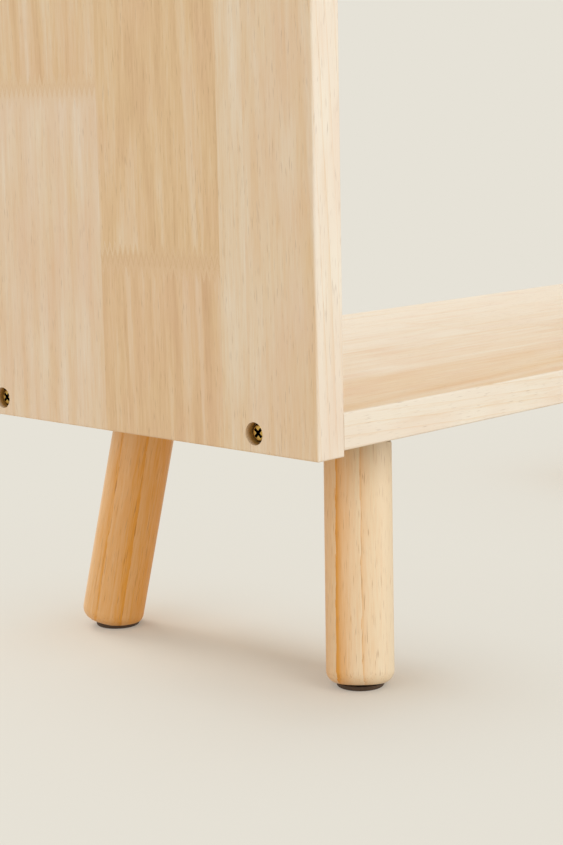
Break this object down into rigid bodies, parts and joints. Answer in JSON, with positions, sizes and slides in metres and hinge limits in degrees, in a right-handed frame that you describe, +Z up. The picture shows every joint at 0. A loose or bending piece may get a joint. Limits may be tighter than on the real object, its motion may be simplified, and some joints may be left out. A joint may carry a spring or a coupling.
{
  "type": "kids bookcase",
  "caption": "Low open bookcase in pale edge-glued wood with fixed shelves, recessed side screws and round splayed legs on thin glides.",
  "frame": {"origin": "on the floor under the middle of the case", "axes": "+Z up, -Y towards the open front, +X to the right when facing the front"},
  "size_m": [0.7, 0.27, 0.752],
  "materials": {
    "board_wood": "edge-glued, finger-jointed pale rubberwood under a thin satin lacquer",
    "leg_wood": "turned pale wood under a thin satin lacquer, a little darker than the boards",
    "dowel_wood": "raw turned beech",
    "plate_steel": "pressed sheet steel under dark satin paint",
    "antique_brass": "darkened antique brass plating",
    "zinc_steel": "bright zinc plating",
    "glide_plastic": "matt dark brown plastic"
  },
  "bodies": {
    "root": {"side_panel_left": "board_wood", "side_panel_right": "board_wood", "shelf_bottom": "board_wood", "shelf_middle": "board_wood", "shelf_top": "board_wood", "leg_front_left": "leg_wood", "leg_front_right": "leg_wood", "leg_rear_left": "leg_wood", "leg_rear_right": "leg_wood", "leg_plate_front_left": "plate_steel", "leg_plate_front_right": "plate_steel", "leg_plate_rear_left": "plate_steel", "leg_plate_rear_right": "plate_steel", "glide_front_left": "glide_plastic", "glide_front_right": "glide_plastic", "glide_rear_left": "glide_plastic", "glide_rear_right": "glide_plastic", "shelf_screws": "antique_brass", "shelf_dowels": "dowel_wood", "plate_screws": "zinc_steel", "hanger_bolts": "zinc_steel", "glide_nails": "zinc_steel"}
  },
  "joints": []
}
